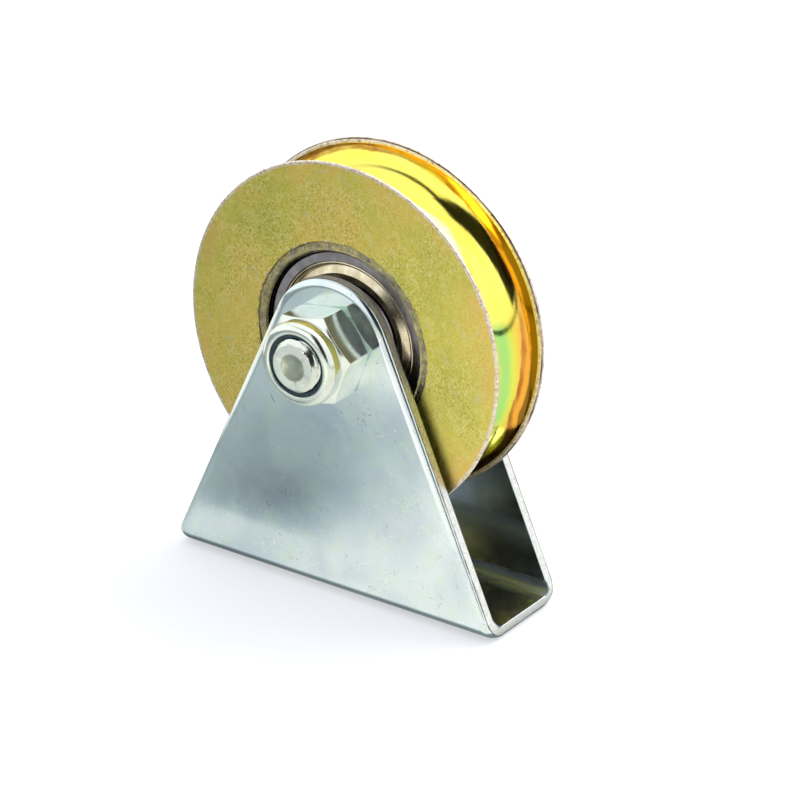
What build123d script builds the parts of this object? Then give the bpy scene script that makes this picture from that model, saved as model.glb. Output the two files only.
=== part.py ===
from build123d import *
import os
from math import acos, atan2, cos, hypot, radians, sin, tan

# Gate wheel: a U-grooved steel wheel on a shielded ball bearing, bolted between the cheeks
# of a bent sheet bracket.  Millimetres.  The bracket stands on its flat web.
# X runs along the web and the rolling direction, Y along the axle, Z up.
# The origin is the centre of the web's underside.  The nut is on the -Y side, called near.

# ---- driving dimensions ---------------------------------------------------------------
wheel_diameter = 80.0
wheel_width = 18.0
groove_radius = 8.0            # half-round groove, centred on the wheel's outer edge
rim_edge_radius = 0.25

axle_height = 59.0             # axle centre above the underside of the web
bolt_diameter = 12.0           # M12 axle bolt
bolt_length = 40.0             # under the head
hex_across_flats = 19.0        # bolt head and lock nut
head_height = 7.5
nut_height = 12.0
nut_hex_height = 8.2

sheet = 3.0                    # bracket sheet thickness
bracket_width = 27.0           # over the outsides of the two cheeks
bracket_length = 84.0          # of the web, and of each cheek's foot
cheek_top_radius = 15.25       # round top of a cheek, concentric with the axle
inside_bend_radius = 2.5
edge_roll = 0.5                # rounding that blanking leaves on the outer edges
bolt_hole_diameter = 12.5

bearing_bore = 17.0            # a 17 x 40 x 12 bearing
bearing_diameter = 40.0
bearing_width = 12.0
ball_count = 8
ball_diameter = 6.747          # 17/64 inch
ball_pitch_radius = 14.25
race_conformity = 0.515        # race groove radius as a share of the ball's diameter
ball_play = 0.03               # between a ball and either race
seat_recess = 1.7              # bearing face below the wheel's near face

# ---- worked out from them -------------------------------------------------------------
wheel_radius = wheel_diameter / 2
half_wheel = wheel_width / 2
half_bracket = bracket_width / 2
cheek_inside = half_bracket - sheet                  # y of a cheek's inner face
outside_bend_radius = inside_bend_radius + sheet
bearing_radius = bearing_diameter / 2
half_bearing = bearing_width / 2
bearing_near = -half_wheel + seat_recess             # y of the bearing's near face
bearing_far = bearing_near + bearing_width
bearing_middle = bearing_near + half_bearing
bore_radius = bearing_bore / 2
ball_radius = ball_diameter / 2
bolt_radius = bolt_diameter / 2
hex_corner_radius = hex_across_flats / 2 / cos(radians(30))
near, far = -1, 1


# ---- helpers --------------------------------------------------------------------------
def turned(section):
    """Solid of revolution about the axle, from a face drawn in radius and y."""
    return revolve(section, axis=Axis.Y)


def section(*points):
    """Closed face from (radius, y) corners."""
    return make_face(Polyline(*points, close=True))


def ring(inner, outer, start, end):
    """Plain ring round the axle from y = start to y = end."""
    return turned(section((inner, start), (outer, start), (outer, end), (inner, end)))


def rounded(face, corner, radius):
    """The face with the corner nearest to a given point rounded."""
    at = Vector(*corner)
    nearest = min(face.vertices(), key=lambda vertex: (Vector(*vertex) - at).length)
    return fillet(nearest, radius)


def around(radius, count, first_angle=90.0):
    """Places spaced evenly round the axle, the first one at first_angle above +X."""
    step = 360.0 / count
    angles = [radians(first_angle + step * index) for index in range(count)]
    return [Pos(radius * cos(angle), 0, radius * sin(angle)) for angle in angles]


def hexagon_bar(start, end, flat_angle):
    """Hexagonal bar along Y, one flat's normal at flat_angle degrees above +X."""
    end_plane = Plane(origin=(0, end, 0), x_dir=(1, 0, 0), z_dir=(0, -1, 0))
    outline = RegularPolygon(hex_corner_radius, 6, rotation=flat_angle + 30)
    return extrude(end_plane * outline, end - start)


def write(solid, name):
    """Lift a piece that was built about the axle's centre to its height, and write it."""
    export_step(Pos(0, 0, axle_height) * solid, f"parts/{name}.step")


# ---- bracket --------------------------------------------------------------------------
def cheek_outline():
    """Side view: square foot one sheet high, then straight flanks tangent to a round top."""
    foot = bracket_length / 2
    rise = axle_height - sheet
    # angle above +X at which the right flank touches the round top
    touch = acos(cheek_top_radius / hypot(foot, rise)) - atan2(rise, foot)
    touch_x = cheek_top_radius * cos(touch)
    touch_z = cheek_top_radius * sin(touch)
    left = Polyline((0, -axle_height), (-foot, -axle_height), (-foot, -rise), (-touch_x, touch_z))
    top = ThreePointArc((-touch_x, touch_z), (0, cheek_top_radius), (touch_x, touch_z))
    right = Polyline((touch_x, touch_z), (foot, -rise), (foot, -axle_height), (0, -axle_height))
    return make_face(left + top + right)


def channel_section(half_width, floor, corner):
    """Tall rectangle standing on floor, in y and z, with its two lower corners rounded."""
    height = 2 * axle_height
    box = Pos(0, floor + height / 2) * Rectangle(2 * half_width, height)
    return fillet(box.vertices().group_by(Axis.Y)[0], corner)


def on_outer_skin(point):
    """Whether a point lies on the outside of the bent sheet."""
    across = abs(point.Y) - (half_bracket - outside_bend_radius)
    down = outside_bend_radius - (point.Z + axle_height)
    if across > 0 and down > 0:
        distance = hypot(across, down)
    else:
        distance = max(across, down)
    return abs(distance - outside_bend_radius) < 0.001


def outer_cut_edges(sheet_part):
    """Cut edges on the outer skin; the bend lines, which run along X, are left out."""
    edges = []
    for edge in sheet_part.edges():
        size = edge.bounding_box().size
        runs_along_x = size.Y + size.Z < 0.001
        if not runs_along_x and all(on_outer_skin(edge @ place) for place in (0, 0.5, 1)):
            edges.append(edge)
    return edges


def bracket():
    outside = channel_section(half_bracket, -axle_height, outside_bend_radius)
    inside = channel_section(cheek_inside, sheet - axle_height, inside_bend_radius)
    channel = extrude(Plane.YZ * (outside - inside), bracket_length / 2, both=True)
    side_view = extrude(Plane.XZ * cheek_outline(), half_bracket, both=True)
    blank = channel & side_view
    rolled = blank.fillet(edge_roll, outer_cut_edges(blank))
    return rolled - Rot(90, 0, 0) * Cylinder(bolt_hole_diameter / 2, 2 * bracket_width)


# ---- wheel ----------------------------------------------------------------------------
def wheel_rim():
    """Disc with a half-round groove, a seat for the bearing and a staked lip that holds it."""
    retaining_radius = 17.5        # hole through the shoulder behind the bearing
    chamfer = 0.6
    stake_inner, stake_outer = 20.6, 22.5          # ring that the staking tool pressed in
    stake_depth, stake_slope = 0.5, 0.3
    lip_overhang = 0.5             # metal that staking pushed inward, over the bearing's edge
    lip_foot, lip_height = 0.15, 0.75              # above the bearing's face
    lip_radius = bearing_radius - lip_overhang
    lip_under = bearing_near + lip_foot
    face = -half_wheel
    disc = section(
        (retaining_radius, bearing_far),
        (bearing_radius, bearing_far),
        (bearing_radius, lip_under + lip_overhang),
        (lip_radius, lip_under),
        (lip_radius, lip_under - lip_height),
        (stake_inner - stake_slope, face + stake_depth / 3),
        (stake_inner, face + stake_depth),
        (stake_outer - stake_slope, face + stake_depth),
        (stake_outer, face),
        (wheel_radius, face),
        (wheel_radius, half_wheel),
        (retaining_radius + chamfer, half_wheel),
        (retaining_radius, half_wheel - chamfer),
    )
    profile = disc - Pos(wheel_radius, 0) * Circle(groove_radius)
    for side in (near, far):
        for corner in (half_wheel, groove_radius):
            profile = rounded(profile, (wheel_radius, side * corner), rim_edge_radius)
    return turned(profile)


# ---- bearing, drawn about its own middle ----------------------------------------------
shield_seat_radius = 17.3      # of the outer ring's counterbore that holds a shield
shield_seat = 4.8              # from the bearing's middle to the shield's back
outer_shoulder_radius = 16.1
inner_shoulder_radius = 12.4


def both_sides(half):
    """Corners of a profile that is the same on both sides of the bearing's middle."""
    return half + [(radius, -y) for radius, y in reversed(half)]


def race(bottom_radius, inward):
    """Round section of a race groove, from the radius of its bottom."""
    groove = race_conformity * ball_diameter
    return Pos(bottom_radius + inward * groove, 0) * Circle(groove)


def bearing_outer_ring():
    chamfer = 0.8
    half = [
        (outer_shoulder_radius, shield_seat),
        (shield_seat_radius, shield_seat),
        (shield_seat_radius, half_bearing),
        (bearing_radius - chamfer, half_bearing),
        (bearing_radius, half_bearing - chamfer),
    ]
    bottom = ball_pitch_radius + ball_radius + ball_play
    return turned(section(*both_sides(half)) - race(bottom, inward=-1))


def bearing_inner_ring():
    chamfer = 0.4
    half = [
        (inner_shoulder_radius, half_bearing - chamfer),
        (inner_shoulder_radius - chamfer, half_bearing),
        (bore_radius + chamfer, half_bearing),
        (bore_radius, half_bearing - chamfer),
    ]
    bottom = ball_pitch_radius - ball_radius - ball_play
    return turned(section(*both_sides(half)) - race(bottom, inward=1))


cage_inner_radius, cage_outer_radius = 12.95, 15.55
cage_sheet = 0.7
pocket_play = 0.08
rivet_radius, rivet_head_radius, rivet_head = 0.55, 0.95, 0.35
rivet_angle = 90.0 + 180.0 / ball_count              # midway between two balls


def cage_half(side):
    """Pressed ribbon with a round pocket for each ball and flats riveted between them."""
    pocket_radius = ball_radius + pocket_play
    outer_radius = pocket_radius + cage_sheet
    balls = around(ball_pitch_radius, ball_count)
    flat_start, flat_end = sorted((0, side * cage_sheet))
    band_start, band_end = sorted((0, side * outer_radius))
    flat = ring(cage_inner_radius, cage_outer_radius, flat_start, flat_end)
    band = ring(cage_inner_radius, cage_outer_radius, band_start, band_end)
    domes = [place * Sphere(outer_radius) for place in balls]
    hollows = [place * Sphere(pocket_radius) for place in balls]
    holes = [place * shank(2 * cage_sheet) for place in rivet_places()]
    return ((flat + domes) & band) - hollows - holes


def rivet_places():
    return around(ball_pitch_radius, ball_count, rivet_angle)


def shank(length):
    return Rot(90, 0, 0) * Cylinder(rivet_radius, length)


def rivet():
    head = Rot(90, 0, 0) * Cylinder(rivet_head_radius, rivet_head)
    head_y = cage_sheet + rivet_head / 2
    return shank(2 * cage_sheet) + Pos(0, head_y, 0) * head + Pos(0, -head_y, 0) * head


def cage_rivets():
    return Compound([place * rivet() for place in rivet_places()])


def shield(side):
    """Pressed cover: a rolled bead in the ring's counterbore, then a dished plate."""
    inside_radius = inner_shoulder_radius + 0.5
    bead = [(shield_seat_radius, shield_seat), (shield_seat_radius, 5.65), (16.95, 5.9), (16.55, 5.65)]
    plate = [(16.35, 5.2), (14.5, 5.5), (14.2, 5.25), (inside_radius, 5.2)]
    back = [(inside_radius, 4.85), (14.35, 4.9), (14.65, 5.15), (16.3, shield_seat)]
    return turned(section(*[(radius, side * y) for radius, y in bead + plate + back]))


# ---- spacers, axle bolt and nut -------------------------------------------------------
def spacer(side):
    """Stepped bush: a flange between cheek and bearing, a spigot in the bearing's bore."""
    flange_radius = 13.0
    land_radius, land = 12.0, 0.5          # raised land that bears on the inner ring alone
    edge = 0.4
    bore = bolt_radius + 0.05
    spigot = bore_radius - 0.01
    spigot_end = bearing_middle + side * 0.1
    bearing_face = bearing_far if side == far else bearing_near
    cheek_face = side * cheek_inside
    return turned(section(
        (bore, spigot_end),
        (spigot, spigot_end),
        (spigot, bearing_face),
        (land_radius, bearing_face),
        (land_radius, bearing_face + side * land),
        (flange_radius - edge, bearing_face + side * land),
        (flange_radius, bearing_face + side * (land + edge)),
        (flange_radius, cheek_face - side * edge),
        (flange_radius - edge, cheek_face),
        (bore, cheek_face),
    ))


hex_chamfer_circle = hex_across_flats / 2 - 0.2      # left flat on a chamfered hexagon's end


def chamfered_bar(start, end, flat_angle, chamfer_ends):
    """Hexagonal bar whose corners are turned away at 30 degrees at the given ends."""
    flat_circle = hex_chamfer_circle
    reach = hex_corner_radius + 0.1
    run = (reach - flat_circle) * tan(radians(30))
    low = flat_circle if start in chamfer_ends else reach
    high = flat_circle if end in chamfer_ends else reach
    envelope = section(
        (0, start), (low, start), (reach, start + run),
        (reach, end - run), (high, end), (0, end),
    )
    return hexagon_bar(start, end, flat_angle) & turned(envelope)


def axle_bolt():
    """Hex bolt whose head bears on the far cheek; its near end is chamfered and dimpled."""
    head_turn = 12.0               # how far round the head happens to stand
    washer_face, washer_radius = 0.4, 8.9
    tip_chamfer = 1.0
    dimple_radius, dimple_depth = 3.0, 0.45
    seat = half_bracket
    tip = seat - bolt_length
    head_end = seat + head_height
    head = chamfered_bar(seat + washer_face, head_end, head_turn, (head_end,))
    shaft = turned(section(
        (0, tip), (bolt_radius - tip_chamfer, tip), (bolt_radius, tip + tip_chamfer),
        (bolt_radius, seat), (washer_radius, seat), (washer_radius, seat + washer_face),
        (0, seat + washer_face),
    ))
    ball = (dimple_radius ** 2 + dimple_depth ** 2) / (2 * dimple_depth)
    return head + shaft - Pos(0, tip + dimple_depth - ball, 0) * Sphere(ball)


nut_seat = -half_bracket
nut_top = nut_seat - nut_height
nut_turn = 39.0                    # how far round the nut happens to stand
nut_bore_radius = bolt_radius + 0.02
insert_radius = 8.3
insert_start, insert_end = nut_top + 0.6, nut_top + 2.8


def lock_nut():
    """Hex nut with a turned-in collar that holds the nylon insert."""
    collar_radius, lip_radius = 9.2, 6.95
    hex_end = nut_seat - nut_hex_height
    collar_foot = nut_seat - nut_hex_height / 2         # inside the hexagon
    body = chamfered_bar(hex_end, nut_seat, nut_turn, (hex_end, nut_seat))
    collar = section(
        (lip_radius, nut_top), (collar_radius, nut_top),
        (collar_radius, collar_foot), (nut_bore_radius, collar_foot),
        (nut_bore_radius, insert_end), (insert_radius, insert_end),
        (insert_radius, insert_start), (lip_radius, insert_start),
    )
    collar = rounded(collar, (collar_radius, nut_top), 1.1)
    collar = rounded(collar, (lip_radius, nut_top), 0.25)
    bore = ring(0, nut_bore_radius, nut_top, nut_seat + 1)
    return (body - bore) + turned(collar)


def nylon_insert():
    return ring(nut_bore_radius, insert_radius, insert_start, insert_end)


# ---- write every piece ----------------------------------------------------------------
os.makedirs("parts", exist_ok=True)
in_bearing = Pos(0, bearing_middle, 0)

write(bracket(), "bracket")
write(wheel_rim(), "wheel_rim")
write(in_bearing * bearing_outer_ring(), "bearing_outer_ring")
write(in_bearing * bearing_inner_ring(), "bearing_inner_ring")
for number, place in enumerate(around(ball_pitch_radius, ball_count), start=1):
    write(in_bearing * place * Sphere(ball_radius), f"bearing_ball_{number}")
write(in_bearing * cage_rivets(), "cage_rivets")
for side, word in ((near, "near"), (far, "far")):
    write(in_bearing * cage_half(side), f"cage_{word}_half")
    write(in_bearing * shield(side), f"shield_{word}")
    write(spacer(side), f"spacer_{word}")
write(axle_bolt(), "axle_bolt")
write(lock_nut(), "lock_nut")
write(nylon_insert(), "nylon_insert")
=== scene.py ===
"""Gate wheel: fine meshes and finishes for the visible pieces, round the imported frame."""
import bmesh
import bpy
from math import acos, atan2, ceil, copysign, cos, degrees, hypot, pi, radians, sin, sqrt, tan
from mathutils import Matrix, Vector, noise
from mathutils.geometry import delaunay_2d_cdt


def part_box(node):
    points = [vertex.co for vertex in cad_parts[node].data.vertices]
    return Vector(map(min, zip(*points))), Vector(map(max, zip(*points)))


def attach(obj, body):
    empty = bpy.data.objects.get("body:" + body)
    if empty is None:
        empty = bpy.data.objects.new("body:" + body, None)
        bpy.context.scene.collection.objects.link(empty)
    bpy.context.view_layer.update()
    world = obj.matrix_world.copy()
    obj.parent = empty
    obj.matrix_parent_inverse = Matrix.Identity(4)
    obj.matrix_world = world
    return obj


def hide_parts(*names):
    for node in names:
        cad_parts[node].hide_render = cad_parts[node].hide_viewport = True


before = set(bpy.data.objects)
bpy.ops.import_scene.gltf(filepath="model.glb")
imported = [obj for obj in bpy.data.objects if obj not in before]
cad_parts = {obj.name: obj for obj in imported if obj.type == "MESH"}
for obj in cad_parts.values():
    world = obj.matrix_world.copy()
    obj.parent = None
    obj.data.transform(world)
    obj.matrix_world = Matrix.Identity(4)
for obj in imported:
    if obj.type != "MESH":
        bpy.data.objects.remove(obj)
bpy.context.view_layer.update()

MM = 0.001                       # the lengths below are millimetres, and scene units are metres


# ---- sizes, from the frame ------------------------------------------------------------
def box_mm(node):
    """Lowest and highest corner of a node of the frame, in millimetres."""
    low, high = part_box(node)
    return low / MM, high / MM


wheel_low, wheel_high = box_mm("wheel_rim")
bracket_low, bracket_high = box_mm("bracket")
bearing_low, bearing_high = box_mm("bearing_outer_ring")
bolt_low, bolt_high = box_mm("axle_bolt")
nut_low, nut_high = box_mm("lock_nut")
nylon_low, nylon_high = box_mm("nylon_insert")

wheel_radius = (wheel_high.x - wheel_low.x) / 2
axle_height = (wheel_high.z + wheel_low.z) / 2
half_wheel = (wheel_high.y - wheel_low.y) / 2
groove_radius = 8.0
rim_lip = 0.70                   # rounding where the groove meets the rim's two lands
stake_radius = 22.1              # outer edge of the staked ring round the bearing

bearing_radius = (bearing_high.x - bearing_low.x) / 2
bearing_near, bearing_far = bearing_low.y, bearing_high.y
bearing_middle = (bearing_near + bearing_far) / 2
half_bearing = (bearing_far - bearing_near) / 2
bearing_bore_radius = 8.5
shield_seat_radius = 17.3
shield_seat = 4.8                # from the bearing's middle

half_bracket = (bracket_high.y - bracket_low.y) / 2
half_length = (bracket_high.x - bracket_low.x) / 2
sheet = 3.0
cheek_inside = half_bracket - sheet
cheek_top_radius = bracket_high.z - axle_height
outside_bend_radius = 5.5
bolt_hole_radius = 6.25
web_flat = half_bracket - outside_bend_radius
edge_roll, edge_drop = 1.7, 0.9  # width and depth of the sheared sheet's rolled outer edge

bolt_radius = 6.0
dimple_radius = 3.0              # in the bolt's tip
nut_bore_radius = bolt_radius + 0.02
thread_pitch = 1.75
hex_across_flats = 19.0
hex_chamfer_circle = hex_across_flats / 2 - 0.2
near, far = -1, 1                # sides of the wheel, by the sign of y


# ---- outlines -------------------------------------------------------------------------
def arc(centre, radius, start, end, count):
    """Points on a circle from angle start to angle end, in degrees."""
    step = (end - start) / (count - 1)
    angles = [radians(start + step * index) for index in range(count)]
    return [(centre[0] + radius * cos(a), centre[1] + radius * sin(a)) for a in angles]


def rounded(corners, count=6):
    """Closed outline from (x, y) or (x, y, radius) corners; a radius rounds its corner."""
    points = []
    for index, corner in enumerate(corners):
        if len(corner) == 2:
            points.append(corner)
            continue
        here = Vector(corner[:2])
        back = (Vector(corners[index - 1][:2]) - here).normalized()
        ahead = (Vector(corners[(index + 1) % len(corners)][:2]) - here).normalized()
        half_angle = back.angle(ahead) / 2
        reach = corner[2] / tan(half_angle)
        centre = here + (back + ahead).normalized() * corner[2] / sin(half_angle)
        first = here + back * reach - centre
        last = here + ahead * reach - centre
        for step in range(count):
            way = first.lerp(last, step / (count - 1)).normalized()
            points.append(tuple(centre + way * corner[2]))
    return points


def both_sides(half):
    """An outline that is the same on both sides of the bearing's middle."""
    far_side = [(r, bearing_middle + y, *more) for r, y, *more in reversed(half)]
    return [(r, bearing_middle - y, *more) for r, y, *more in half] + far_side


# ---- meshes ---------------------------------------------------------------------------
def finish_piece(name, mesh, body, slot_name, stands_for):
    """Makes an object of a bmesh in millimetres, parents it to its body, gives it its slot's finish and
    hides the nodes it stands for.
    """
    for vertex in mesh.verts:
        vertex.co *= MM
    bmesh.ops.recalc_face_normals(mesh, faces=mesh.faces)
    for face in mesh.faces:
        face.smooth = True
    data = bpy.data.meshes.new(name)
    mesh.to_mesh(data)
    mesh.free()
    data.set_sharp_from_angle(angle=radians(32))
    piece = bpy.data.objects.new(name, data)
    bpy.context.scene.collection.objects.link(piece)
    weighted = piece.modifiers.new("flat faces stay flat", "WEIGHTED_NORMAL")
    weighted.keep_sharp = True
    data.materials.append(finishes[slot_name])
    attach(piece, body)
    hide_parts(*stands_for)


def turns(count):
    """Angles spaced evenly round the axle."""
    return [2 * pi * index / count for index in range(count)]


def swept(outlines, angles):
    """Closed surface through one (radius, y) outline for each angle round the axle."""
    mesh = bmesh.new()
    columns = []
    for outline, angle in zip(outlines, angles):
        column = []
        for radius, y in outline:
            point = (radius * cos(angle), y, axle_height + radius * sin(angle))
            column.append(mesh.verts.new(point))
        columns.append(column)
    for index, column in enumerate(columns):
        following = columns[(index + 1) % len(columns)]
        for place in range(len(column)):
            after = (place + 1) % len(column)
            mesh.faces.new((column[place], column[after], following[after], following[place]))
    return mesh


def lathe(outline, count=288):
    """Closed surface of one outline turned round the axle."""
    return swept([outline] * count, turns(count))


def capped(outlines, angles):
    """Like swept, for outlines that start and end on the axle: each end gets one point."""
    mesh = bmesh.new()
    first = mesh.verts.new((0, outlines[0][0][1], axle_height))
    last = mesh.verts.new((0, outlines[0][-1][1], axle_height))
    columns = []
    for outline, angle in zip(outlines, angles):
        column = [first]
        for radius, y in outline[1:-1]:
            point = (radius * cos(angle), y, axle_height + radius * sin(angle))
            column.append(mesh.verts.new(point))
        columns.append(column + [last])
    for index, column in enumerate(columns):
        following = columns[(index + 1) % len(columns)]
        for place in range(len(column) - 1):
            corners = [column[place], column[place + 1], following[place + 1], following[place]]
            mesh.faces.new(list(dict.fromkeys(corners)))
    return mesh


# ---- finishes -------------------------------------------------------------------------
def tint(red, green, blue):
    """Linear colour from 8-bit display values."""
    def linear(value):
        share = value / 255
        return share / 12.92 if share <= 0.04045 else ((share + 0.055) / 1.055) ** 2.4
    return (linear(red), linear(green), linear(blue), 1.0)


class Nodes:
    """Short ways to add the nodes that the finishes, the floor and the sky use."""

    def __init__(self, tree, coordinates):
        self.tree = tree
        self.place = self.add("ShaderNodeTexCoord").outputs[coordinates]

    def add(self, kind, inputs=None, **settings):
        """New node of a kind, with its inputs fed and its settings made."""
        node = self.tree.nodes.new(kind)
        for key, value in settings.items():
            setattr(node, key, value)
        for key, value in (inputs or {}).items():
            self.feed(node.inputs[key], value)
        return node

    def feed(self, socket, value):
        """Links a node's output to a socket, or sets a plain value on it."""
        if isinstance(value, bpy.types.NodeSocket):
            self.tree.links.new(value, socket)
        else:
            socket.default_value = value

    def math(self, operation, first, second=0.0, third=0.0):
        """Result of a Math node."""
        inputs = {0: first, 1: second, 2: third}
        return self.add("ShaderNodeMath", inputs, operation=operation).outputs[0]

    def plus(self, first, second):
        return self.math("ADD", first, second)

    def minus(self, first, second):
        return self.math("SUBTRACT", first, second)

    def times(self, first, second):
        return self.math("MULTIPLY", first, second)

    def off(self, value, target):
        """How far value is from target, either way."""
        return self.math("ABSOLUTE", self.minus(value, target))

    def turned(self, first, second, turn):
        """Two coordinates turned by an angle in degrees: the one along it and the one across."""
        cosine, sine = cos(radians(turn)), sin(radians(turn))
        along = self.math("MULTIPLY_ADD", first, cosine, self.times(second, sine))
        across = self.math("MULTIPLY_ADD", first, -sine, self.times(second, cosine))
        return along, across

    def noise(self, size, detail=3.0, roughness=0.55, distortion=0.0, place=None):
        """Noise whose blotches are about size millimetres across, from 0 to 1."""
        inputs = {
            "Vector": place or self.place,
            "Scale": 1 / (size * MM),
            "Detail": detail,
            "Roughness": roughness,
            "Distortion": distortion,
        }
        return self.add("ShaderNodeTexNoise", inputs).outputs["Fac"]

    def ramp(self, value, *stops):
        """Colour by value, from (place, colour) stops."""
        node = self.add("ShaderNodeValToRGB", {"Fac": value})
        elements = node.color_ramp.elements
        while len(elements) < len(stops):
            elements.new(0.5)
        for element, (place, colour) in zip(elements, stops):
            element.position = place
            element.color = colour
        return node.outputs["Color"]

    def between(self, value, low, high, to_low=0.0, to_high=1.0):
        """Value's smooth passage from low to high, as a number from to_low to to_high."""
        inputs = {
            "Value": value, "From Min": low, "From Max": high, "To Min": to_low, "To Max": to_high,
        }
        node = self.add("ShaderNodeMapRange", inputs, interpolation_type="SMOOTHSTEP")
        return node.outputs["Result"]

    def mix(self, share, first, second):
        """Colour that goes from first to second as share goes from 0 to 1."""
        node = self.add("ShaderNodeMix", data_type="RGBA")
        self.feed(node.inputs["Factor"], share)
        self.feed(node.inputs[6], first)
        self.feed(node.inputs[7], second)
        return node.outputs[2]

    def blend(self, share, first, second):
        """Number that goes from first to second as share goes from 0 to 1."""
        node = self.add("ShaderNodeMix", data_type="FLOAT")
        self.feed(node.inputs["Factor"], share)
        self.feed(node.inputs[2], first)
        self.feed(node.inputs[3], second)
        return node.outputs[0]

    def split(self):
        """x, y and z in millimetres, with x and z from the axle's centre."""
        parts = self.add("ShaderNodeSeparateXYZ", {"Vector": self.place}).outputs
        x = self.times(parts[0], 1 / MM)
        y = self.times(parts[1], 1 / MM)
        z = self.math("MULTIPLY_ADD", parts[2], 1 / MM, -axle_height)
        return x, y, z

    def scratches(self, turn):
        """Sparse straight scratches on an upright face, turn degrees from level; 1 on a scratch."""
        width, stretch = 0.5, 0.1
        x, y, z = self.split()
        along, across = self.turned(x, z, turn)
        inputs = {
            0: self.times(along, stretch * MM),
            1: self.times(y, stretch * MM),
            2: self.times(across, MM),
        }
        place = self.add("ShaderNodeCombineXYZ", inputs).outputs[0]
        return self.between(self.noise(width, 1.0, place=place), 0.76, 0.80)

    def spot(self, x, y, along, across, turn=0.0):
        """Soft round patch on the floor, 1 at its middle; sizes in millimetres, turn in degrees."""
        at_x, at_y, _ = self.split()
        first, second = self.turned(self.minus(at_x, x), self.minus(at_y, y), turn)
        first = self.times(first, 1 / along)
        second = self.times(second, 1 / across)
        squares = self.math("MULTIPLY_ADD", first, first, self.times(second, second))
        return self.math("EXPONENT", self.times(squares, -0.5))

    def radius(self):
        """Distance from the axle's line, in millimetres."""
        x, _, z = self.split()
        return self.math("SQRT", self.plus(self.times(x, x), self.times(z, z)))

    def round_place(self, along):
        """Coordinates that stretch a pattern along the circles round the axle."""
        x, y, z = self.split()
        radius = self.radius()
        inputs = {
            0: self.times(self.math("DIVIDE", x, radius), along * MM),
            1: self.times(self.plus(y, radius), MM),
            2: self.times(self.math("DIVIDE", z, radius), along * MM),
        }
        return self.add("ShaderNodeCombineXYZ", inputs).outputs[0]

    def bump(self, height, depth, over=None):
        """Surface relief, depth millimetres from height 0 to 1, over another relief."""
        inputs = {"Height": height, "Distance": depth * MM, "Strength": 1.0}
        if over:
            inputs["Normal"] = over
        return self.add("ShaderNodeBump", inputs).outputs["Normal"]


finishes = {}


class Finish(Nodes):
    """One procedural material, kept under its name in finishes for the pieces' slots."""

    def __init__(self, name, metallic=1.0):
        self.material = bpy.data.materials.new(name)
        self.material.use_nodes = True
        super().__init__(self.material.node_tree, "Object")
        self.shader = self.tree.nodes["Principled BSDF"]
        self.shader.inputs["Metallic"].default_value = metallic
        finishes[name] = self.material

    def set(self, **sockets):
        """Feeds the shader's sockets, named with underscores for spaces."""
        for key, value in sockets.items():
            self.feed(self.shader.inputs[key.replace("_", " ")], value)


def yellow_zinc():
    """Yellow chromate over zinc: mottled flat faces, glossy groove, worn lands, staked ring."""
    f = Finish("yellow_zinc")
    radius = f.radius()
    _, y, _ = f.split()
    grain = f.noise(0.40, 3.0, 0.75)
    mottle = f.noise(2.2, 4.0, 0.65)
    streaks = f.noise(3.0, 3.0, place=f.round_place(12.0))
    land_start = f.between(y, -1.0, 1.0, wheel_radius - 0.8, wheel_radius - 1.1)
    in_groove = f.between(f.math("ABSOLUTE", y), groove_radius + 0.35, groove_radius + 0.1)
    in_groove = f.times(in_groove, f.between(f.minus(radius, land_start), 0.1, -0.05))
    outside_groove = f.minus(1.0, in_groove)
    face = mottled_face(f, radius, grain, mottle)
    colour = f.mix(in_groove, face, groove_film(f, radius, y, streaks))
    colour = worn_lands(f, colour, radius, land_start, outside_groove)
    colour = dark_edges(f, colour, radius, y, streaks)
    colour = staked_ring(f, colour, radius, y, mottle)
    face_rough = f.between(grain, 0.3, 0.8, 0.38, 0.54)
    groove_rough = f.between(streaks, 0.3, 0.7, 0.07, 0.13)
    relief = f.bump(f.times(grain, outside_groove), 0.03)
    relief = f.bump(streaks, 0.025, relief)
    relief = f.bump(f.noise(0.7, 3.0, 0.6), 0.004, relief)
    f.set(Base_Color=colour, Roughness=f.blend(in_groove, face_rough, groove_rough), Normal=relief)


def mottled_face(f, radius, grain, mottle):
    """Flat face: olive to gold clouds, dark and light grain, scuffs, and a blush near the rim."""
    face = f.ramp(
        f.noise(17.0, 2.0),
        (0.36, tint(214, 206, 96)),
        (0.50, tint(228, 214, 102)),
        (0.64, tint(242, 214, 108)),
    )
    face = f.mix(f.between(mottle, 0.45, 0.70, 0.0, 0.4), face, tint(246, 236, 156))
    coarse = f.between(f.noise(13.0, 3.0), 0.40, 0.62, 0.35, 0.9)
    face = f.mix(f.times(f.between(grain, 0.50, 0.30), coarse), face, tint(166, 148, 62))
    face = f.mix(f.times(f.between(grain, 0.52, 0.72), coarse), face, tint(255, 250, 206))
    scuff = f.between(f.noise(5.0, 5.0, 0.75, 0.8), 0.58, 0.68, 0.0, 0.55)
    face = f.mix(scuff, face, tint(222, 216, 176))
    face = f.mix(f.times(f.scratches(35.0), 0.5), face, tint(250, 246, 220))
    near_rim = f.between(radius, wheel_radius - 7.0, wheel_radius - 1.0)
    blush = f.times(near_rim, f.between(f.noise(11.0, 2.0), 0.42, 0.60, 0.0, 0.45))
    return f.mix(blush, face, tint(250, 198, 122))


def worn_lands(f, colour, radius, land_start, outside_groove):
    """Pale bare metal with brown pits on the rim's two lands, where the plating has worn off."""
    worn_edge = f.plus(radius, f.between(f.noise(1.2, 3.0), 0.3, 0.7, -0.12, 0.12))
    worn = f.between(f.minus(worn_edge, land_start), 0.0, 0.2)
    land = f.ramp(
        f.noise(0.9, 4.0, 0.7),
        (0.32, tint(150, 128, 118)),
        (0.42, tint(224, 204, 180)),
        (0.58, tint(250, 240, 222)),
    )
    return f.mix(f.times(worn, outside_groove), colour, land)


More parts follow.
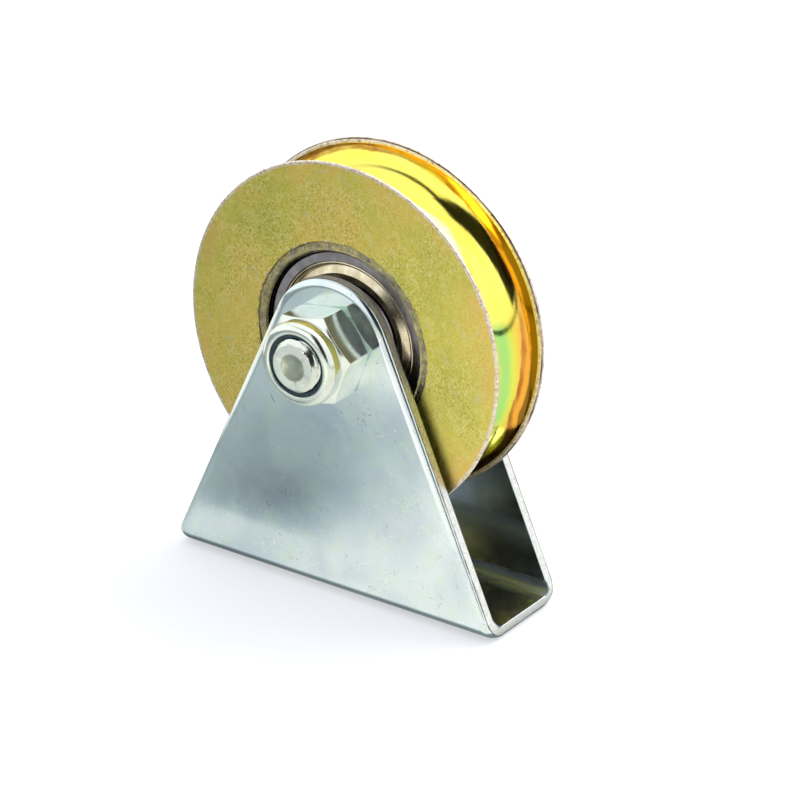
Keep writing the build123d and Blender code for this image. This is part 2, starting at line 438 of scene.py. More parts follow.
def dark_edges(f, colour, radius, y, streaks):
    """Broken dark lines at the far face's rim and where the groove's lips meet the lands."""
    brim = f.between(radius, wheel_radius - 0.4, wheel_radius - 0.2)
    brim = f.times(brim, f.between(y, half_wheel - 0.35, half_wheel - 0.2))
    brim = f.times(brim, f.between(streaks, 0.35, 0.6, 0.3, 0.9))
    colour = f.mix(brim, colour, tint(70, 52, 40))
    lip_line = f.between(f.off(f.math("ABSOLUTE", y), groove_radius + 0.24), 0.22, 0.08)
    lip_line = f.times(lip_line, f.between(radius, wheel_radius - rim_lip, wheel_radius - 0.4))
    lip_line = f.times(lip_line, f.between(streaks, 0.35, 0.55, 0.4, 0.9))
    return f.mix(lip_line, colour, tint(66, 48, 28))


def staked_ring(f, colour, radius, y, mottle):
    """Grey crumbled metal round the bearing, a broken line of painted shade at its edge, chips and a dark
    lip.
    """
    edge = f.plus(radius, f.between(f.noise(1.6, 4.0, 0.7), 0.25, 0.75, -0.35, 0.35))
    near_face = f.between(y, -half_wheel / 2, -half_wheel / 2 - 1)
    crumbs = f.ramp(
        f.noise(0.7, 4.0, 0.7, place=f.round_place(7.0)),
        (0.30, tint(104, 98, 98)),
        (0.50, tint(150, 145, 134)),
        (0.62, tint(184, 178, 158)),
        (0.70, tint(246, 240, 222)),
    )
    staked = f.times(f.between(edge, stake_radius + 0.15, stake_radius - 0.25), near_face)
    staked = f.times(staked, f.between(mottle, 0.35, 0.65, 0.95, 0.55))
    colour = f.mix(staked, colour, crumbs)
    # painted shade: a broken dark line along the staked ring's outer step
    line = f.times(f.between(f.off(edge, stake_radius), 0.34, 0.10), near_face)
    line = f.times(line, f.between(mottle, 0.46, 0.62, 0.0, 0.75))
    colour = f.mix(line, colour, tint(120, 104, 108))
    chips = f.between(f.noise(1.1, 2.0), 0.62, 0.68, 0.0, 0.6)
    chips = f.times(chips, f.between(f.off(radius, stake_radius), 1.0, 0.4))
    colour = f.mix(f.times(chips, near_face), colour, tint(238, 226, 206))
    lip_shade = f.between(radius, bearing_radius - 0.15, bearing_radius - 0.3)
    return f.mix(f.times(lip_shade, near_face), colour, tint(26, 22, 18))


def groove_film(f, radius, y, streaks):
    """Colour in the groove: lemon, a film of green to peach on one arc, and painted reflection in rings by
    the far edge.
    """
    colour = f.ramp(streaks, (0.32, tint(255, 244, 118)), (0.68, tint(255, 236, 96)))
    wander = f.noise(5.0, 3.0, place=f.round_place(30.0))
    depth = f.plus(radius, f.math("MULTIPLY_ADD", wander, 0.9, -0.45))
    x, _, z = f.split()
    film_middle = -9.0
    toward_middle, _ = f.turned(x, z, film_middle)
    film = f.between(f.math("DIVIDE", toward_middle, radius), 0.90, 0.95, 0.0, 0.9)
    film = f.times(film, f.between(y, 0.0, 2.0))
    order = f.math("MULTIPLY_ADD", z, 0.055, depth)
    mint = tint(158, 222, 126)
    bands = f.ramp(
        f.times(f.minus(order, wheel_radius - groove_radius), 0.2),
        (0.04, tint(240, 214, 96)),
        (0.14, mint),
        (0.28, mint),
        (0.46, tint(212, 226, 92)),
        (0.62, tint(238, 204, 82)),
        (0.80, tint(240, 172, 86)),
    )
    return far_wall_reflection(f, f.mix(film, colour, bands), depth, y, z, streaks)


def far_wall_reflection(f, colour, depth, y, z, streaks):
    """Painted reflection: rust-red, amber and umber rings by the groove's far edge, for the far wall
    reflecting the yellow near wall, narrower at the top and the bottom.
    """
    narrower = f.plus(f.between(z, 20.0, 38.0, 0.0, 1.9), f.between(z, -13.0, -22.0, 0.0, 1.7))
    below_rim = f.minus(wheel_radius, f.minus(depth, narrower))
    far_side = f.between(y, 4.0, 6.0)
    fringe = f.times(f.between(below_rim, 4.6, 4.2), f.between(streaks, 0.40, 0.60, 0.45, 0.8))
    blot = f.between(f.noise(7.0, 3.0, place=f.round_place(34.0)), 0.52, 0.68, 0.0, 0.45)
    # painted reflection: each ring's colour stands in for the far wall reflecting the groove's yellow near
    # wall and the floor
    for share, stain_and_reflection in (
        (fringe, tint(150, 66, 24)),
        (f.between(below_rim, 4.0, 3.3), tint(242, 172, 66)),
        (f.between(below_rim, 2.8, 2.3, 0.0, 0.9), tint(126, 96, 32)),
        (f.times(blot, f.between(below_rim, 4.2, 3.6)), tint(84, 44, 16)),
    ):
        colour = f.mix(f.times(share, far_side), colour, stain_and_reflection)
    return colour


def bracket_skin(f):
    """Distance out through the folded sheet: cheek_inside on its inner skin, half_bracket outside."""
    _, y, z = f.split()
    across = f.math("MAXIMUM", f.minus(f.math("ABSOLUTE", y), web_flat), 0.0)
    down = f.math("MAXIMUM", f.minus(outside_bend_radius - axle_height, z), 0.0)
    squares = f.plus(f.times(across, across), f.times(down, down))
    return f.plus(f.math("SQRT", squares), web_flat)


def bracket_marks_and_shade(f, colour, rough, patch):
    """Smudges and scratches outside, a greyer inner skin with painted shade along its inner bend, and a
    torn cut edge with a dark line.
    """
    smudge = f.between(f.noise(1.3, 5.0, 0.75, 1.2), 0.57, 0.68)
    smudge = f.times(smudge, f.between(f.noise(9.0, 2.0), 0.48, 0.62, 0.0, 0.6))
    colour = f.mix(smudge, colour, tint(128, 136, 134))
    colour = f.mix(f.times(f.scratches(-62.0), 0.4), colour, tint(134, 142, 142))
    colour = f.mix(f.times(f.scratches(20.0), 0.5), colour, tint(250, 252, 252))
    skin = bracket_skin(f)
    within = f.between(skin, cheek_inside + 0.5, cheek_inside + 0.2)
    inner = f.ramp(patch, (0.35, tint(206, 212, 216)), (0.70, tint(222, 227, 229)))
    colour = f.mix(within, colour, inner)
    _, _, z = f.split()
    height = f.plus(z, axle_height)
    # painted shade: the inner skin darkened to blue-grey along the inside of the bottom bend
    inner_bend_shade = f.times(f.between(height, sheet + 0.01, sheet + 0.06), f.between(height, 6.0, 5.2))
    inner_bend_shade = f.times(inner_bend_shade, within)
    colour = f.mix(f.times(inner_bend_shade, 0.8), colour, tint(104, 120, 132))
    corner = half_bracket - edge_drop
    cut = f.between(skin, corner + 0.1, corner - 0.05)
    cut = f.times(cut, f.between(skin, cheek_inside + 0.2, cheek_inside + 0.5))
    torn = f.ramp(
        f.noise(0.7, 4.0, 0.7),
        (0.34, tint(204, 202, 198)),
        (0.48, tint(228, 228, 224)),
        (0.64, tint(242, 244, 238)),
    )
    colour = f.mix(cut, colour, torn)
    line = f.times(f.between(f.off(skin, corner), 0.24, 0.10), f.between(patch, 0.40, 0.60, 0.5, 0.95))
    colour = f.mix(line, colour, tint(92, 92, 88))
    return colour, f.blend(f.math("MAXIMUM", cut, inner_bend_shade), rough, 0.45)


def tip_dimple_shade(f, colour, rough, patch):
    """Duller metal in the dimple of the bolt's tip, greyed with painted shade."""
    _, y, _ = f.split()
    dimple = f.between(f.radius(), dimple_radius + 0.3, dimple_radius - 0.2)
    dimple = f.times(dimple, f.between(y, 0.0, -5.0))
    grey = f.ramp(patch, (0.4, tint(150, 158, 140)), (0.6, tint(204, 212, 186)))
    # painted shade: the dimple's colour is greyed as if in the recess's shade
    return f.mix(f.times(dimple, 0.8), colour, grey), f.blend(dimple, rough, 0.34)


def zinc(name, bright, dull, low_rough, high_rough, grain_depth, marks_and_shade):
    """Clear chromate over zinc: cool and satin, with faint clouds and specks, then a piece's marks and
    painted shade.
    """
    f = Finish(name)
    patch = f.noise(4.0, 4.0, 0.6)
    grain = f.noise(0.35, 3.0, 0.7)
    colour = f.ramp(f.noise(16.0, 3.0, 0.5, 0.6), (0.32, dull), (0.62, bright))
    colour = f.mix(f.between(patch, 0.50, 0.70, 0.0, 0.5), colour, tint(222, 242, 220))
    specks = f.between(f.noise(0.8, 2.0), 0.66, 0.72, 0.0, 0.7)
    colour = f.mix(specks, colour, tint(252, 254, 252))
    rough = f.between(f.times(f.plus(grain, patch), 0.5), 0.3, 0.7, low_rough, high_rough)
    colour, rough = marks_and_shade(f, colour, rough, patch)
    wave = f.bump(f.noise(11.0, 2.0), 0.05)
    f.set(Base_Color=colour, Roughness=rough, Normal=f.bump(grain, grain_depth, wave))


def turned_metal(name, light, dark, rough, depth, gap_shade_from=None):
    """Machined steel with fine rings round the axle, and painted shade of a gap outside a given radius."""
    f = Finish(name)
    rings = f.noise(0.12, 2.0, place=f.round_place(1.5))
    stain_and_reflection = f.noise(3.5, 3.0)
    colour = f.mix(f.between(stain_and_reflection, 0.35, 0.7), dark, light)
    if gap_shade_from:
        # painted shade: near black outside the given radius, for the shaded gap between the ring's chamfer
        # and the wheel's lip
        gap_shade = f.between(f.radius(), gap_shade_from, gap_shade_from + 0.15)
        colour = f.mix(gap_shade, colour, tint(24, 20, 18))
    f.set(
        Base_Color=colour,
        Roughness=f.between(rings, 0.3, 0.7, rough * 0.8, rough * 1.25),
        Normal=f.bump(rings, depth),
    )


def nylon():
    """Dark blue-green plastic with faint turned streaks."""
    f = Finish("nylon", metallic=0.0)
    streaks = f.noise(0.5, 3.0, place=f.round_place(4.0))
    f.set(
        Base_Color=f.ramp(streaks, (0.35, tint(12, 42, 52)), (0.7, tint(26, 66, 76))),
        Roughness=f.between(streaks, 0.3, 0.7, 0.3, 0.5),
        Normal=f.bump(streaks, 0.04),
    )


yellow_zinc()
zinc("clear_zinc", tint(229, 240, 241), tint(208, 220, 227), 0.10, 0.19, 0.003, bracket_marks_and_shade)
zinc("bolt_zinc", tint(240, 244, 236), tint(206, 214, 204), 0.13, 0.22, 0.004, tip_dimple_shade)
nylon()
turned_metal("turned_steel", tint(150, 150, 150), tint(112, 112, 114), 0.3, 0.02)
turned_metal("bearing_steel", tint(188, 180, 182), tint(158, 150, 152), 0.34, 0.012, bearing_radius - 0.58)
turned_metal("shield_steel", tint(236, 226, 196), tint(200, 186, 152), 0.22, 0.006)
turned_metal("cage_steel", tint(186, 176, 150), tint(140, 132, 116), 0.3, 0.02)
turned_metal("ball_steel", tint(214, 216, 220), tint(196, 198, 204), 0.06, 0.001)


# ---- wheel ----------------------------------------------------------------------------
def groove_outline():
    """From the near land, over a rolled lip, round the groove and over the far lip."""
    lip = rim_lip
    meet = sqrt((groove_radius + lip) ** 2 - lip ** 2)
    turn = degrees(atan2(lip, meet))
    near_lip = arc((wheel_radius - lip, -meet), lip, 0, 90 - turn, 6)
    round_part = arc((wheel_radius, 0), groove_radius, 270 - turn, 90 + turn, 72)
    far_lip = arc((wheel_radius - lip, meet), lip, turn - 90, 0, 6)
    return near_lip + round_part[1:-1] + far_lip


def wheel_outline(angle):
    """Section of the wheel at one angle; staking leaves the edge round its bore uneven."""
    direction = Vector((cos(angle), sin(angle), 0))
    wobble = noise.noise(direction * 5.0)
    fine = noise.noise(direction * 17.0 + Vector((3, 1, 4)))
    rough = noise.noise(direction * 43.0 + Vector((7, 2, 9)))
    retaining, chamfer = 17.5, 0.6
    stake_depth, stake_width = 0.5, 1.5
    lip_radius = bearing_radius - 0.5 + 0.10 * fine
    stake_inner = stake_radius - stake_width + 0.12 * fine
    stake_outer = stake_radius + 0.22 * wobble + 0.12 * fine
    stake_floor = -half_wheel + stake_depth + 0.10 * rough
    corners = [
        (retaining, bearing_far),
        (bearing_radius, bearing_far),
        (bearing_radius, bearing_near + 0.65),
        (lip_radius, bearing_near + 0.15),
        (lip_radius, bearing_near - 0.6, 0.2),
        (stake_inner - 0.3, -half_wheel + 0.15 + 0.05 * rough, 0.12),
        (stake_inner, stake_floor, 0.1),
        ((stake_inner + stake_outer) / 2, stake_floor + 0.08 * rough),
        (stake_outer - 0.3, stake_floor, 0.12),
        (stake_outer, -half_wheel, 0.1),
        (wheel_radius, -half_wheel, 0.28),
        (wheel_radius, 0),
        (wheel_radius, half_wheel, 0.28),
        (retaining + chamfer, half_wheel, 0.15),
        (retaining, half_wheel - chamfer, 0.15),
    ]
    outline = rounded(corners)
    middle = outline.index((wheel_radius, 0))
    return outline[:middle] + groove_outline() + outline[middle + 1:]


def wheel_rim():
    """Turned wheel, its section made again at each angle for the uneven staking."""
    angles = turns(480)
    mesh = swept([wheel_outline(angle) for angle in angles], angles)
    finish_piece("wheel_rim_turned", mesh, "wheel", "yellow_zinc", ["wheel_rim"])


# ---- bearing --------------------------------------------------------------------------
def bearing_outer_ring():
    """Ground ring with a race for the balls and a counterbore for each shield."""
    ball_diameter, pitch_radius, play = 6.747, 14.25, 0.03
    race = 0.515 * ball_diameter
    race_centre = pitch_radius + ball_diameter / 2 + play - race
    shoulder = 16.1
    chamfer = 0.8
    half = [
        (shoulder, shield_seat),
        (shield_seat_radius, shield_seat),
        (shield_seat_radius, half_bearing, 0.12),
        (bearing_radius - chamfer, half_bearing, 0.2),
        (bearing_radius, half_bearing - chamfer, 0.2),
    ]
    turn = degrees(acos((shoulder - race_centre) / race))
    groove = arc((race_centre, bearing_middle), race, turn, -turn, 25)
    mesh = lathe(rounded(both_sides(half)) + groove)
    finish_piece("bearing_ring_ground", mesh, "wheel", "bearing_steel", ["bearing_outer_ring"])


def shield(side, word):
    """Pressed cover: a bead rolled into the ring's counterbore, then a dished plate."""
    inside = 12.9
    bead = [
        (shield_seat_radius, shield_seat),
        (shield_seat_radius, 5.65, 0.1),
        (16.95, 5.9, 0.25),
        (16.55, 5.65, 0.2),
    ]
    plate = [
        (16.35, 5.05, 0.1),
        (14.65, 5.95, 0.2),
        (14.25, 5.95, 0.15),
        (14.0, 5.3, 0.15),
        (inside, 5.25, 0.1),
    ]
    back = [
        (inside, 4.9, 0.1),
        (14.3, 4.95, 0.15),
        (14.55, 5.5, 0.1),
        (16.2, shield_seat, 0.2),
    ]
    corners = [(r, bearing_middle + side * y, *more) for r, y, *more in bead + plate + back]
    mesh = lathe(rounded(corners))
    finish_piece(f"shield_{word}_pressed", mesh, "wheel", "shield_steel", [f"shield_{word}"])


# ---- bracket --------------------------------------------------------------------------
middle_bend_radius = outside_bend_radius - sheet / 2
cheek_start = web_flat + middle_bend_radius * pi / 2      # along the flat blank, from its middle
axle_along = cheek_start + axle_height - outside_bend_radius
foot_along = cheek_start + sheet - outside_bend_radius
flank_rise = axle_along - foot_along                      # from the foot's corner to the axle
flank_turn = acos(cheek_top_radius / hypot(half_length, flank_rise)) - atan2(flank_rise, half_length)


def fold(x, along, depth):
    """Place on the folded bracket of a point of the flat blank, depth below the outer skin."""
    side = copysign(1.0, along)
    reach = abs(along)
    if reach <= web_flat:
        return Vector((x, side * reach, depth))
    if reach >= cheek_start:
        return Vector((x, side * (half_bracket - depth), outside_bend_radius + reach - cheek_start))
    turn = (reach - web_flat) / middle_bend_radius
    radius = outside_bend_radius - depth
    y = web_flat + radius * sin(turn)
    return Vector((x, side * y, outside_bend_radius - radius * cos(turn)))


def stepped(points, step):
    """Closed outline with its long sides divided into pieces no longer than step."""
    fine = []
    for index, point in enumerate(points):
        start, end = Vector(point), Vector(points[(index + 1) % len(points)])
        count = max(1, ceil((end - start).length / step))
        fine += [start.lerp(end, share / count) for share in range(count)]
    return fine


def blank_outline():
    """The flat blank, anticlockwise: two cheeks with round tops, joined by the web."""
    touch = degrees(flank_turn)
    corner = 2.6
    top = arc((0, axle_along), cheek_top_radius, touch, 180 - touch, 49)
    bottom = [(-x, -along) for x, along in top]
    right_foot = [(half_length, -foot_along, corner), (half_length, foot_along, corner)]
    left_foot = [(-half_length, foot_along, corner), (-half_length, -foot_along, corner)]
    return stepped(rounded(right_foot + top + left_foot + bottom), 0.7)


def inset(loop, amount):
    """Anticlockwise loop moved inwards, to its left; a clockwise one grows."""
    moved = []
    for index, point in enumerate(loop):
        run = loop[(index + 1) % len(loop)] - loop[index - 1]
        moved.append(point + Vector((-run.y, run.x)).normalized() * amount)
    return moved


def edge_profile():
    """(inset, depth) steps over a cut edge: rolled on the outer skin, crisp on the inner."""
    burr, steps = 0.15, 12
    flat = [(edge_roll + beyond, 0.0) for beyond in (0.35, 0.15)]
    shares = [step / steps for step in range(steps + 1)]
    rolled = [(edge_roll * (1 - share) ** 1.6, edge_drop * share ** 1.3) for share in shares]
    turns_in = [radians(30 * step) for step in range(4)]
    crisp = [(burr * (1 - cos(turn)), sheet - burr * (1 - sin(turn))) for turn in turns_in]
    return flat + rolled + crisp


def inside_blank(x, along, margin):
    """Whether a point of the flat blank lies inside its outline and clear of the bolt holes."""
    reach = abs(along)
    from_axle = hypot(x, reach - axle_along)
    if from_axle < bolt_hole_radius + margin:
        return False
    if reach <= foot_along:
        return abs(x) < half_length - margin
    if reach > axle_along + cheek_top_radius * sin(flank_turn):
        return from_axle < cheek_top_radius - margin
    flank = abs(x) * cos(flank_turn) + (reach - axle_along) * sin(flank_turn)
    return flank < cheek_top_radius - margin


def skin_points():
    """Points spread over the blank, closer together where it bends."""
    wide, fine, near_bend = 3.0, 0.52, 0.6
    margin = edge_roll + 0.7
    columns = round(half_length / wide)
    points = []
    along = -axle_along - cheek_top_radius
    while along < axle_along + cheek_top_radius:
        row = [(wide * column, along) for column in range(-columns, columns + 1)]
        points += [point for point in row if inside_blank(*point, margin)]
        bending = web_flat - near_bend < abs(along) < cheek_start + near_bend
        along += fine if bending else wide
    return points


def bracket():
    """Bent sheet, made as a flat blank with thickness and folded."""
    mesh = bmesh.new()
    loops = [blank_outline()]
    for side in (near, far):
        hole = arc((0, side * axle_along), bolt_hole_radius, 0, 355, 72)
        loops.append([Vector(point) for point in reversed(hole)])
    levels = edge_profile()
    spread = [Vector(point) for point in skin_points()]
    skins = {0: [], len(levels) - 1: []}
    for loop in loops:
        rings = []
        for amount, depth in levels:
            flat = inset(loop, amount)
            rings.append((flat, [mesh.verts.new(fold(p.x, p.y, depth)) for p in flat]))
        for (_, upper), (_, lower) in zip(rings, rings[1:]):
            for index in range(len(loop)):
                after = (index + 1) % len(loop)
                mesh.faces.new((upper[index], upper[after], lower[after], lower[index]))
        for level in skins:
            skins[level].append(rings[level])
    for level, boundaries in skins.items():
        fill_skin(mesh, boundaries, spread, levels[level][1])
    finish_piece("bracket_folded", mesh, "bracket", "clear_zinc", ["bracket"])


def fill_skin(mesh, boundaries, spread, depth):
    """Triangles between the outline and the holes, through the spread points."""
    flat, vertices, edges = [], [], []
    for loop, ring in boundaries:
        first = len(flat)
        edges += [(first + index, first + (index + 1) % len(loop)) for index in range(len(loop))]
        flat += loop
        vertices += ring
    flat = flat + spread
    vertices = vertices + [mesh.verts.new(fold(p.x, p.y, depth)) for p in spread]
    _, _, triangles, origins, _, _ = delaunay_2d_cdt(flat, edges, [], 1, 1e-7)
    for triangle in triangles:
        corners = [origins[corner][0] for corner in triangle]
        middle = sum((flat[corner] for corner in corners), Vector((0, 0))) / 3
        if inside_blank(middle.x, middle.y, 0.0):
            mesh.faces.new([vertices[corner] for corner in corners])


# ---- spacers, axle bolt and nut -------------------------------------------------------
def spacer(side, word):
    """Stepped bush between a cheek and the bearing, its spigot in the bearing's bore."""
    flange, land_radius, land = 13.0, 12.0, 0.5
    bore = bolt_radius + 0.05
    spigot = bearing_bore_radius - 0.01
    spigot_end = bearing_middle + side * 0.1
    face = bearing_far if side == far else bearing_near
    cheek = side * cheek_inside
    outline = rounded([
        (bore, spigot_end, 0.05),
        (spigot, spigot_end, 0.3),
        (spigot, face),
        (land_radius, face, 0.08),
        (land_radius, face + side * land, 0.08),
        (flange, face + side * land, 0.35),
        (flange, cheek, 0.35),
        (bore, cheek, 0.2),
    ])
    finish_piece(f"spacer_{word}_turned", lathe(outline), "bracket", "turned_steel", [f"spacer_{word}"])


def hexagon_angles(flat_angle, per_flat=14, per_corner=9):
    """Angles for a hexagon's columns, closer together at its corners."""
    corner_half = 4.0
    angles = []
    for flat in range(6):
        middle = flat_angle + 60 * flat
        step = 2 * (30 - corner_half) / per_flat
        angles += [middle - 30 + corner_half + step * index for index in range(per_flat)]
        step = 2 * corner_half / per_corner
        angles += [middle + 30 - corner_half + step * index for index in range(per_corner)]
    return [radians(angle) for angle in angles]


def hexagon_radius(angle, flat_angle):
    """Radius of a hexagon with slightly rounded corners, at one angle."""
    corner = 0.45
    apothem = hex_across_flats / 2
    from_corner = abs((degrees(angle) - flat_angle) % 60 - 30)
    centre = (apothem - corner) / cos(radians(30))
    tangent = degrees(atan2(corner * sin(radians(30)), centre + corner * cos(radians(30))))
    if from_corner > tangent:
        return apothem / cos(radians(30 - from_corner))
    off = radians(from_corner)
    return centre * cos(off) + sqrt(corner ** 2 - (centre * sin(off)) ** 2)


def lock_nut():
    """Hexagon chamfered at both ends, with a turned-in collar that holds the insert."""
    flat_angle, hex_height = 39.0, 8.2
    seat, top = nut_high.y, nut_low.y
    hex_end = seat - hex_height
    collar, undercut, lip, insert = 9.45, 9.2, 6.95, 8.3
    slope = tan(radians(30))
    angles = hexagon_angles(flat_angle)
    outlines = []
    for angle in angles:
        reach = hexagon_radius(angle, flat_angle)
        drop = (reach - hex_chamfer_circle) * slope
        outlines.append(rounded([
            (nut_bore_radius, seat, 0.3),
            (hex_chamfer_circle, seat, 0.1),
            (reach, seat - drop, 0.12),
            (reach, hex_end + drop, 0.12),
            (hex_chamfer_circle, hex_end, 0.05),
            (undercut, hex_end, 0.05),
            (undercut, hex_end - 0.35, 0.05),
            (collar, hex_end - 0.6, 0.3),
            (collar - 0.1, top, 1.7),
            (lip, top, 0.3),
            (lip, nylon_low.y),
            (insert, nylon_low.y),
            (insert, nylon_high.y),
            (nut_bore_radius, nylon_high.y, 0.3),
        ]))
    mesh = swept(outlines, angles)
    finish_piece("lock_nut_formed", mesh, "bracket", "bolt_zinc", ["lock_nut"])


def nylon_insert():
    """Plain ring held in the nut's collar."""
    outside = 8.25
    outline = rounded([
        (nut_bore_radius, nylon_low.y, 0.25),
        (outside, nylon_low.y),
        (outside, nylon_high.y),
        (nut_bore_radius, nylon_high.y),
    ])
    finish_piece("nylon_ring", lathe(outline), "bracket", "nylon", ["nylon_insert"])


def axle_bolt():
    """Hex bolt: dimpled and chamfered tip, rolled thread, plain shank, chamfered head."""
    head_turn = 12.0
    washer, washer_radius = 0.4, 8.9
    seat, tip, crown = half_bracket, bolt_low.y, bolt_high.y
    thread_length, shank, tip_chamfer = 18.0, 5.0, 1.0
    dimple_depth, steps = 0.28, 6
    shares = [step / steps for step in range(steps + 1)]
    dimple = [(dimple_radius * share, tip + dimple_depth * (1 - share ** 2)) for share in shares]
    slope = tan(radians(30))
    angles = hexagon_angles(head_turn)
    outlines = []
    for angle in angles:
        reach = hexagon_radius(angle, head_turn)
        drop = (reach - hex_chamfer_circle) * slope
        outline = dimple + thread(angle, tip, thread_length, tip_chamfer)
        outline += rounded([
            (0, seat - shank),
            (bolt_radius, seat - shank),
            (bolt_radius, seat, 0.3),
            (washer_radius, seat, 0.1),
            (washer_radius, seat + washer),
            (hex_chamfer_circle, seat + washer),
            (reach, seat + washer + 0.1, 0.05),
            (reach, crown - drop, 0.12),
            (hex_chamfer_circle, crown, 0.4),
            (0, crown),
        ])[1:]
        outlines.append(outline)
    mesh = capped(outlines, angles)
    finish_piece("axle_bolt_formed", mesh, "bracket", "bolt_zinc", ["axle_bolt"])


def thread(angle, tip, length, chamfer):
    """Rolled thread along the bolt at one angle, cut off by the tip's chamfer."""
    depth = 0.613 * thread_pitch
    crest_radius = bolt_radius - 0.02
    step = thread_pitch / 12
    points = []
    for index in range(1, int(length / step)):
        along = index * step
        turn = (along / thread_pitch - angle / (2 * pi)) % 1.0
        root = min(1.0, max(0.0, 2.4 * abs(turn - 0.5) - 0.15))
        fade = min(1.0, max(0.0, (length - along) / thread_pitch))
        chamfer_radius = bolt_radius - chamfer + along
        points.append((min(crest_radius - depth * root * fade, chamfer_radius), tip + along))
    return [(bolt_radius - chamfer, tip)] + points


# ---- every piece ----------------------------------------------------------------------
wheel_rim()
bearing_outer_ring()
bracket()
lock_nut()
nylon_insert()
axle_bolt()
for side, word in ((near, "near"), (far, "far")):
    shield(side, word)
    spacer(side, word)

# the CAD's own solids, which only get a finish
carried_over = {"bearing_inner_ring": "bearing_steel", "cage_rivets": "cage_steel"}
carried_over.update({f"cage_{word}_half": "cage_steel" for word in ("near", "far")})
carried_over.update({f"bearing_ball_{number}": "ball_steel" for number in range(1, 9)})
for node, slot_name in carried_over.items():
    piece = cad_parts[node]
    piece.data.materials.clear()
    piece.data.materials.append(finishes[slot_name])


# ---- floor, light and camera ----------------------------------------------------------
def floor():
    """Square of white paper under the bracket."""
    half = 2.0
    mesh = bmesh.new()
    corners = [(-half, -half, 0), (half, -half, 0), (half, half, 0), (-half, half, 0)]
    mesh.faces.new([mesh.verts.new(corner) for corner in corners])
    data = bpy.data.meshes.new("floor")
    mesh.to_mesh(data)
    mesh.free()
    stage = bpy.data.objects.new("floor", data)
    bpy.context.scene.collection.objects.link(stage)
    data.materials.append(floor_paper())


def floor_paper():
    """Paper that is lifted to white where the camera sees it, and that metal sees as a lit studio."""
    f = Finish("floor_paper", metallic=0.0)
    colour = f.ramp(f.noise(30.0), (0.3, tint(238, 241, 252)), (0.7, tint(242, 244, 255)))
    f.set(Base_Color=colour, Roughness=0.9)
    paper = f.shader.outputs[0]
    white = f.add("ShaderNodeEmission", {"Color": (1.0, 1.0, 1.0, 1.0), "Strength": 0.98}).outputs[0]
    lifted = f.add("ShaderNodeMixShader", {0: 0.5, 1: paper, 2: white}).outputs[0]
    seen = mirrored_brightness(f)
    tone = f.mix(f.between(seen, 0.4, 1.2), (0.87, 1.0, 1.03, 1.0), (1.02, 1.0, 0.94, 1.0))
    studio = f.add("ShaderNodeEmission", {"Color": tone, "Strength": seen}).outputs[0]
    rays = f.add("ShaderNodeLightPath").outputs
    shown = f.add("ShaderNodeMixShader", {0: rays["Is Camera Ray"], 1: paper, 2: lifted}).outputs[0]
    shown = f.add("ShaderNodeMixShader", {0: rays["Is Glossy Ray"], 1: shown, 2: studio}).outputs[0]
    f.feed(f.tree.nodes["Material Output"].inputs["Surface"], shown)
    return f.material


def mirrored_brightness(f):
    """What metal sees: dimmer to the left, a dark patch before the cheek, white cards, and painted shadow
    under the bracket.

    Places on the floor are in millimetres from below the middle of the axle."""
    x, y, _ = f.split()
    seen = f.between(x, -170.0, 90.0, 0.36, 1.15)
    seen = f.times(seen, f.between(y, -35.0, -30.0, 1.0, 0.97))
    patch = f.times(f.spot(-36.0, -46.0, 14.0, 13.0, turn=20.0), 0.32)
    patch = f.plus(patch, f.times(f.spot(-46.0, -84.0, 26.0, 34.0), 0.27))
    seen = f.minus(seen, f.times(patch, f.between(y, -31.5, -34.5)))
    left_card = f.times(f.between(x, -140.0, -175.0), f.between(y, -125.0, -95.0))
    for card, strength in (
        (f.spot(-25.0, -205.0, 40.0, 50.0), 0.95),
        (f.spot(-46.0, -134.0, 28.0, 22.0), 0.44),
        (f.spot(-5.0, -60.0, 18.0, 22.0), 0.12),
        (f.spot(-50.0, -25.0, 16.0, 8.0), 0.16),
        (left_card, 0.8),
    ):
        seen = f.math("MULTIPLY_ADD", card, strength, seen)
    strip_middle = 520.0
    dark_strip = f.between(f.off(x, strip_middle), 80.0, 140.0, 0.1, 1.0)
    across = f.math("ABSOLUTE", x)
    # painted shadow: what metal sees of the floor is darkened under the bracket, for contact shade
    shadow_under_bracket = f.times(f.between(y, -14.5, -12.0), f.between(across, 46.0, 42.0))
    return f.times(f.times(seen, dark_strip), f.between(shadow_under_bracket, 0.0, 1.0, 1.0, 0.25))


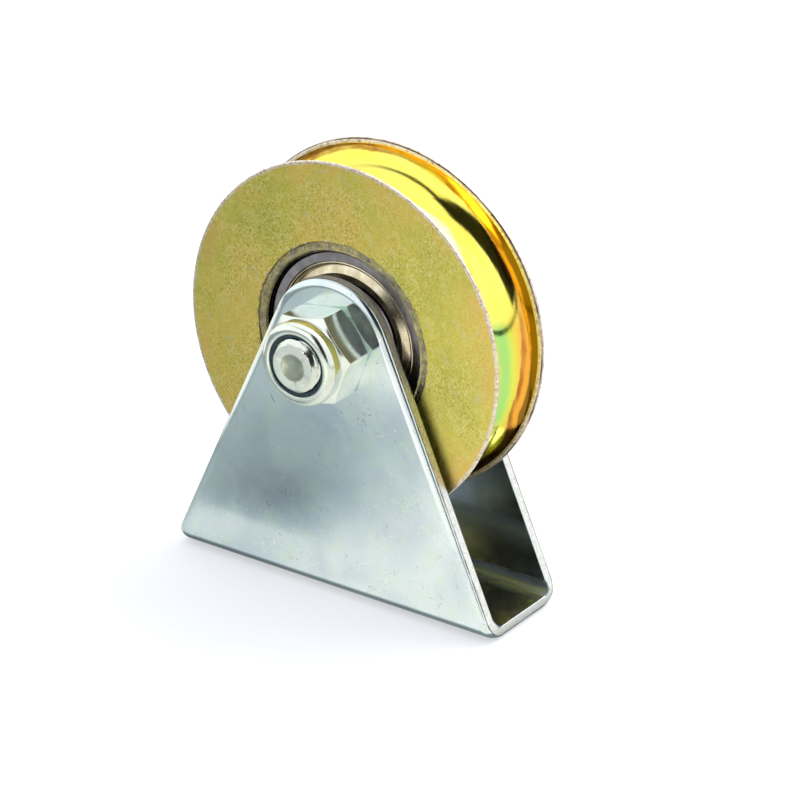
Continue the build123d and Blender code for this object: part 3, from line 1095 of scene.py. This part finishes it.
def sky():
    """White tent, open where the camera and the person behind it stand, with a seam to the left."""
    world = bpy.data.worlds.new("studio")
    bpy.context.scene.world = world
    world.use_nodes = True
    w = Nodes(world.node_tree, "Generated")
    x, y, z = w.add("ShaderNodeSeparateXYZ", {"Vector": w.place}).outputs
    azimuth = w.math("DEGREES", w.math("ARCTAN2", x, w.times(y, -1.0)))
    elevation = w.math("DEGREES", w.math("ARCSINE", z))
    opening = w.times(w.between(azimuth, -3.0, 5.0), w.between(azimuth, 46.0, 36.0))
    opening = w.times(opening, w.between(elevation, 68.0, 58.0))
    seam_height = w.math("MULTIPLY_ADD", azimuth, 0.22, 55.0)
    seam = w.between(w.off(elevation, seam_height), 7.0, 2.0)
    seam = w.times(seam, w.between(azimuth, 10.0, 0.0))
    seam = w.times(seam, w.between(azimuth, -75.0, -15.0, 0.25, 0.9))
    seen = w.between(w.math("MAXIMUM", opening, seam), 0.0, 1.0, 1.2, 0.02)
    rays = w.add("ShaderNodeLightPath").outputs
    strength = w.blend(rays["Is Diffuse Ray"], seen, w.times(seen, 1.25))
    strength = w.blend(rays["Is Camera Ray"], strength, 1.0)
    background = w.tree.nodes["Background"]
    w.feed(background.inputs["Color"], (0.97, 0.99, 1.0, 1.0))
    w.feed(background.inputs["Strength"], strength)


def soft_light(name, place, size, power):
    """Square lamp at a place, in metres, aimed at the axle."""
    data = bpy.data.lights.new(name, "AREA")
    data.size = size
    data.energy = power
    lamp = bpy.data.objects.new(name, data)
    bpy.context.scene.collection.objects.link(lamp)
    lamp.location = place
    aim = Vector((0, 0, axle_height * MM)) - lamp.location
    lamp.rotation_euler = aim.to_track_quat("-Z", "Y").to_euler()


def camera():
    """Long lens at the height and side that show the near cheek and the groove."""
    azimuth, elevation, roll = radians(34.63), radians(24.76), radians(0.55)
    distance = 0.80226
    aim_right, aim_below_axle = 9.18, 14.76
    aim = Vector((aim_right, 0, axle_height - aim_below_axle)) * MM
    back = Vector((sin(azimuth) * cos(elevation), -cos(azimuth) * cos(elevation), sin(elevation)))
    data = bpy.data.cameras.new("camera")
    data.sensor_width = 36.0
    data.lens = 167.8
    view = bpy.data.objects.new("camera", data)
    bpy.context.scene.collection.objects.link(view)
    view.location = aim + back * distance
    level = (-back).to_track_quat("-Z", "Y").to_matrix()
    view.rotation_euler = (level @ Matrix.Rotation(roll, 3, "Z")).to_euler()
    bpy.context.scene.camera = view


floor()
sky()
soft_light("overhead", (0.25, 0.45, 0.75), 0.6, 4.0)
camera()
bpy.context.scene.view_settings.view_transform = "Standard"
